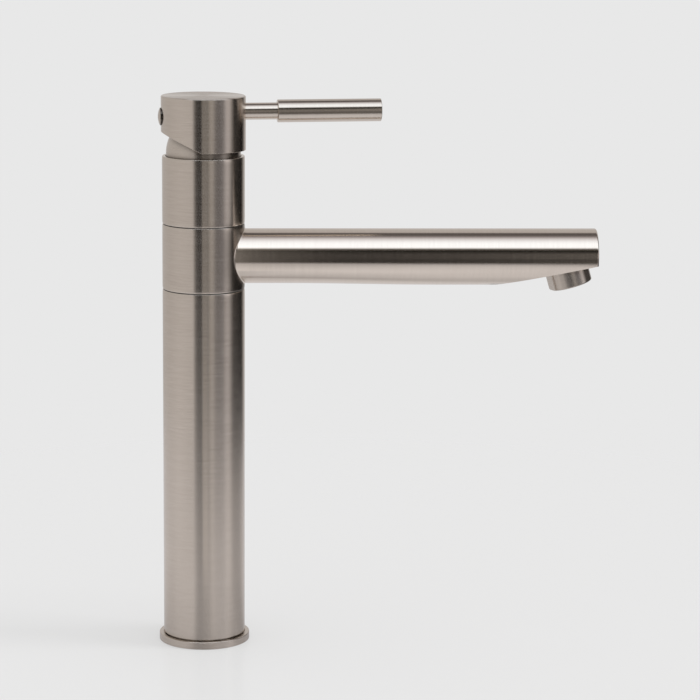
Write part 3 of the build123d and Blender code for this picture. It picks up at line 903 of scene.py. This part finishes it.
# painted light on the board, seen by the metal alone: brightness from its front edge to behind the
# tap, brightness by the angle round the tap from the camera (degrees, + to the right), and painted
# shade at the foot
board_front, board_back = -0.6, 0.2
board_tint = (1.0, 0.99, 1.02)
board_depth = [
    (0.0, 0.62),
    (0.30, 0.80),
    (0.50, 0.97),
    (0.58, 1.02),
    (0.66, 1.02),
    (0.75, 1.00),
    (1.0, 0.94),
]
board_round = [
    (-180, 0.73),
    (-28, 0.74),
    (-14, 0.55),
    (-2, 0.54),
    (12, 0.61),
    (24, 0.72),
    (38, 0.72),
    (60, 0.66),
    (78, 0.65),
    (92, 0.58),
    (104, 0.55),
    (116, 0.57),
    (132, 0.70),
    (148, 0.73),
    (180, 0.73),
]
foot_shade = 0.80
foot_shade_start, foot_shade_end = 0.03, 0.17
# where the board fades out: the circle's middle along X, its start and its end, in metres
seen_fade = (0.06, 0.30, 0.75)
mirrored_fade = (-0.05, 0.39, 0.69)


def stage_card(blank, name):
    """A card of the studio, which is no part of the tap."""
    mesh = bpy.data.meshes.new(name)
    blank.to_mesh(mesh)
    blank.free()
    card = bpy.data.objects.new(name, mesh)
    bpy.context.scene.collection.objects.link(card)
    return card


def ramp_step(tree, value, stops):
    """A colour that follows a value from nought to one: stops of (position, red, green, blue)."""
    ramp = tree.nodes.new("ShaderNodeValToRGB")
    tree.links.new(value, ramp.inputs[0])
    points = ramp.color_ramp.elements
    points.remove(points[-1])
    for number, (position, *colour) in enumerate(stops):
        point = points[0] if number == 0 else points.new(position)
        point.position = position
        point.color = (*colour, 1.0)
    return ramp.outputs[0]


def tinted(brightness, tint):
    """A shade of grey with a tint: the share of each of the three colours."""
    return [brightness * share for share in tint]


def soft_switch(tree, value, low, high):
    """Nought below one value and one above another, with a soft step between."""
    switch = tree.nodes.new("ShaderNodeMapRange")
    switch.interpolation_type = "SMOOTHSTEP"
    tree.links.new(value, switch.inputs["Value"])
    switch.inputs["From Min"].default_value = low
    switch.inputs["From Max"].default_value = high
    return switch.outputs[0]


def fade_step(tree, place, middle, near, far):
    """Nought near a point on the X axis and one far from it."""
    centred = vector_step(tree, "SUBTRACT", place, (middle, 0.0, 0.0)).outputs[0]
    return soft_switch(tree, vector_step(tree, "LENGTH", centred).outputs["Value"], near, far)


floor_blank = bmesh.new()
bmesh.ops.create_grid(floor_blank, x_segments=8, y_segments=8, size=floor_half)
bmesh.ops.translate(floor_blank, vec=floor_place, verts=floor_blank.verts)
floor = stage_card(floor_blank, "worktop")
floor_material, tree, shader, place = new_finish("pale_worktop")
shader.inputs["Roughness"].default_value = floor_gloss
shader.inputs["Specular IOR Level"].default_value = floor_shine
parts = split_step(tree, place)
depth = spread_step(tree, parts["Y"], board_front, board_back, 0.0, 1.0)
front_to_back = ramp_step(
    tree, depth, [(position, *tinted(level, board_tint)) for position, level in board_depth]
)
to_camera = number_step(tree, "MULTIPLY", parts["Y"], -1.0)
turn_round = number_step(tree, "ARCTAN2", parts["X"], to_camera)
all_round = ramp_step(
    tree,
    spread_step(tree, turn_round, -math.pi, math.pi, 0.0, 1.0),
    [(degrees / 360 + 0.5, level, level, level) for degrees, level in board_round],
)
# Painted reflection: the board's colour for the metal, lighter and darker by place and angle.
painted_board_light = vector_step(tree, "MULTIPLY", front_to_back, all_round).outputs[0]
from_foot = vector_step(tree, "LENGTH", place).outputs["Value"]
# Painted shade near the foot, in what the metal sees of the board.
painted_foot_shade_share = spread_step(tree, from_foot, foot_shade_start, foot_shade_end, foot_shade, 1.0)
painted_board_light = vector_step(tree, "SCALE", painted_board_light, scale=painted_foot_shade_share).outputs[0]
path = tree.nodes.new("ShaderNodeLightPath")
board = shade_step(tree, path.outputs["Is Glossy Ray"], floor_shade, painted_board_light)
tree.links.new(board, shader.inputs["Base Color"])
seen_end = fade_step(tree, place, *seen_fade)
mirrored_end = fade_step(tree, place, *mirrored_fade)
which_end = tree.nodes.new("ShaderNodeMix")
tree.links.new(path.outputs["Is Glossy Ray"], which_end.inputs["Factor"])
tree.links.new(seen_end, which_end.inputs["A"])
tree.links.new(mirrored_end, which_end.inputs["B"])
even_glow = tree.nodes.new("ShaderNodeEmission")
tree.links.new(board, even_glow.inputs["Color"])
seen_or_mirrored = number_step(
    tree, "MAXIMUM", path.outputs["Is Camera Ray"], path.outputs["Is Glossy Ray"]
)
half_glow = tree.nodes.new("ShaderNodeMixShader")
tree.links.new(number_step(tree, "MULTIPLY", seen_or_mirrored, glow_share), half_glow.inputs[0])
tree.links.new(shader.outputs[0], half_glow.inputs[1])
tree.links.new(even_glow.outputs[0], half_glow.inputs[2])
see_through = tree.nodes.new("ShaderNodeBsdfTransparent")
blend = tree.nodes.new("ShaderNodeMixShader")
tree.links.new(which_end.outputs[0], blend.inputs[0])
tree.links.new(half_glow.outputs[0], blend.inputs[1])
tree.links.new(see_through.outputs[0], blend.inputs[2])
tree.links.new(blend.outputs[0], tree.nodes["Material Output"].inputs["Surface"])
floor.data.materials.append(floor_material)


# Studio: a large soft lamp on the right throws the shadow to the left, and a soft strip in front is
# seen by the metal alone. The white panels, the dark gaps between them and the light overhead that
# the metal mirrors are painted on the world.
lamp_strength = 0.85
lamp_width = math.radians(22)
lamp_place = Vector((0.9, -0.12, 0.7))
lamp_data = bpy.data.lights.new("soft_lamp", "SUN")
lamp_data.energy = lamp_strength
lamp_data.angle = lamp_width
lamp = bpy.data.objects.new("soft_lamp", lamp_data)
lamp.location = lamp_place
lamp.rotation_euler = (Vector((0, 0, 0)) - lamp.location).to_track_quat("-Z", "Y").to_euler()
lamp.visible_glossy = False
bpy.context.scene.collection.objects.link(lamp)

# the strip's place in metres, and its brightness from left to right
strip_left, strip_right = -0.009, 0.070
strip_height = 0.36
strip_place = Vector(((strip_left + strip_right) / 2, -0.13, 0.19))
strip_tint = (1.0, 0.95, 0.90)
strip_across = [(0.0, 0.21), (0.32, 0.20), (0.44, 0.06), (0.80, 0.03), (1.0, 0.0)]
upright = Matrix.Rotation(math.pi / 2, 3, "X")
strip_size = (strip_right - strip_left, strip_height, 1)
strip_blank = bmesh.new()
bmesh.ops.create_grid(strip_blank, x_segments=1, y_segments=1, size=0.5)
bmesh.ops.scale(strip_blank, vec=strip_size, verts=strip_blank.verts)
bmesh.ops.rotate(strip_blank, cent=(0, 0, 0), matrix=upright, verts=strip_blank.verts)
bmesh.ops.translate(strip_blank, vec=strip_place, verts=strip_blank.verts)
strip = stage_card(strip_blank, "front_strip")
strip.visible_camera = False
strip.visible_diffuse = False
strip.visible_shadow = False
strip_light, tree, shader, place = new_finish("front_strip")
tree.nodes.remove(shader)
glow = tree.nodes.new("ShaderNodeEmission")
across = spread_step(tree, split_step(tree, place)["X"], strip_left, strip_right, 0.0, 1.0)
strip_stops = [(position, *tinted(level, strip_tint)) for position, level in strip_across]
tree.links.new(ramp_step(tree, across, strip_stops), glow.inputs["Color"])
glow.inputs["Strength"].default_value = 1.0
clear = tree.nodes.new("ShaderNodeBsdfTransparent")
both = tree.nodes.new("ShaderNodeAddShader")
tree.links.new(glow.outputs[0], both.inputs[0])
tree.links.new(clear.outputs[0], both.inputs[1])
tree.links.new(both.outputs[0], tree.nodes["Material Output"].inputs["Surface"])
strip.data.materials.append(strip_light)

# angle round the tap from the camera (degrees, + to the right), brightness well below the
# horizon and above it, and the green and blue of the light beside its red
panels_round = [
    (-180, 0.62, 0.62, 0.97, 0.956),
    (-150, 0.53, 0.53, 0.97, 0.956),
    (-130, 0.565, 0.565, 0.97, 0.956),
    (-110, 0.565, 0.565, 0.97, 0.956),
    (-76, 0.60, 0.60, 0.97, 0.956),
    (-60, 0.61, 0.61, 0.97, 0.956),
    (-45, 0.60, 0.60, 0.97, 0.956),
    (-34, 0.59, 0.59, 0.97, 0.956),
    (-29.5, 0.575, 0.575, 0.965, 0.95),
    (-26, 0.30, 0.30, 0.955, 0.93),
    (-21.5, 0.10, 0.10, 0.94, 0.90),
    (-16, 0.04, 0.04, 0.93, 0.88),
    (-11, 0.04, 0.04, 0.93, 0.88),
    (-4, 0.025, 0.025, 0.93, 0.88),
    (4, 0.03, 0.03, 0.93, 0.88),
    (9, 0.04, 0.07, 0.94, 0.90),
    (15, 0.19, 0.31, 0.95, 0.90),
    (21, 0.29, 0.48, 0.95, 0.91),
    (27, 0.28, 0.46, 0.95, 0.92),
    (33, 0.17, 0.26, 0.95, 0.95),
    (40, 0.15, 0.17, 0.95, 0.97),
    (48, 0.16, 0.19, 0.95, 0.99),
    (56, 0.19, 0.27, 0.955, 0.99),
    (63, 0.26, 0.64, 0.96, 0.985),
    (70, 0.28, 0.86, 0.96, 0.98),
    (77, 0.20, 0.76, 0.96, 0.97),
    (84, 0.09, 0.40, 0.95, 0.94),
    (91, 0.02, 0.06, 0.93, 0.89),
    (132, 0.01, 0.01, 0.92, 0.86),
    (143, 0.25, 0.25, 0.95, 0.93),
    (152, 0.50, 0.50, 0.97, 0.95),
    (180, 0.62, 0.62, 0.97, 0.956),
]
# angle up from the camera's side, over the top to the wall behind (degrees), and the same
panels_over = [
    (0, 0.01, 0.94, 0.84),
    (17, 0.01, 0.94, 0.84),
    (21, 0.045, 0.95, 0.87),
    (25, 0.01, 0.94, 0.84),
    (32, 0.06, 0.94, 0.84),
    (36.5, 0.20, 0.97, 0.94),
    (39.5, 0.76, 1.04, 1.11),
    (42.5, 1.18, 1.08, 1.18),
    (47, 1.26, 1.085, 1.19),
    (58, 1.24, 1.085, 1.19),
    (64, 1.18, 1.085, 1.19),
    (69, 1.09, 1.075, 1.18),
    (74, 0.98, 1.06, 1.16),
    (79, 0.86, 1.035, 1.13),
    (84, 0.70, 1.015, 1.10),
    (89, 0.51, 0.985, 1.05),
    (94, 0.33, 0.95, 1.00),
    (99, 0.19, 0.93, 0.95),
    (105, 0.12, 0.916, 0.923),
    (117, 0.12, 0.916, 0.923),
    (122, 0.45, 0.95, 0.95),
    (130, 0.51, 0.967, 0.96),
    (150, 0.52, 0.967, 0.96),
    (165, 0.61, 0.99, 1.0),
    (180, 0.62, 0.99, 1.0),
]
background_shade = 0.807
fill_light = 0.85
left_wall = 0.55
side_walls = 0.22
floor_start, horizon = -0.17, -0.04
overhead_start, overhead_full = 0.20, 0.42
right_start, right_full = 0.80, 0.96
left_start, left_full = 0.40, 0.62
white = (1.0, 1.0, 1.0)
world = bpy.data.worlds.new("studio")
bpy.context.scene.world = world
world.use_nodes = True
world.cycles.sampling_method = "NONE"
tree = world.node_tree


def panel_ramp(angle, panels, first):
    """A ring of panels: brightness by angle, from the first angle to 180 degrees. Everything on
    the world is stored at half its brightness, because a ramp ends at one."""
    share = spread_step(tree, angle, math.radians(first), math.pi, 0.0, 1.0)
    stops = [
        ((degrees - first) / (180 - first), *tinted(level / 2, (1.0, green, blue)))
        for degrees, level, green, blue in panels
    ]
    return ramp_step(tree, share, stops)


direction = split_step(tree, tree.nodes.new("ShaderNodeTexCoord").outputs["Generated"])
to_camera = number_step(tree, "MULTIPLY", direction["Y"], -1.0)
to_left = number_step(tree, "MULTIPLY", direction["X"], -1.0)
round_angle = number_step(tree, "ARCTAN2", direction["X"], to_camera)
over_angle = number_step(tree, "ARCTAN2", direction["Z"], to_camera)
low_panels = [(degrees, low, green, blue) for degrees, low, high, green, blue in panels_round]
high_panels = [(degrees, high, green, blue) for degrees, low, high, green, blue in panels_round]
low_light = panel_ramp(round_angle, low_panels, -180)
high_light = panel_ramp(round_angle, high_panels, -180)
over_light = panel_ramp(over_angle, panels_over, 0)
above_floor = soft_switch(tree, direction["Z"], floor_start, horizon)
high_up = soft_switch(tree, direction["Z"], overhead_start, overhead_full)
on_right = soft_switch(tree, direction["X"], right_start, right_full)
on_left = soft_switch(tree, to_left, left_start, left_full)
round_light = shade_step(tree, above_floor, low_light, high_light)
overhead = shade_step(tree, on_right, over_light, tinted(side_walls / 2, white))
overhead = shade_step(tree, on_left, overhead, tinted(left_wall / 2, white))
mirrored = shade_step(tree, high_up, round_light, overhead)
path = tree.nodes.new("ShaderNodeLightPath")
fill = tinted(fill_light / 2, white)
unseen = shade_step(tree, path.outputs["Is Glossy Ray"], fill, mirrored)
background = tinted(background_shade / 2, white)
seen = shade_step(tree, path.outputs["Is Camera Ray"], unseen, background)
tree.links.new(seen, tree.nodes["Background"].inputs["Color"])
tree.nodes["Background"].inputs["Strength"].default_value = 2.0
bpy.context.scene.view_settings.view_transform = "Standard"
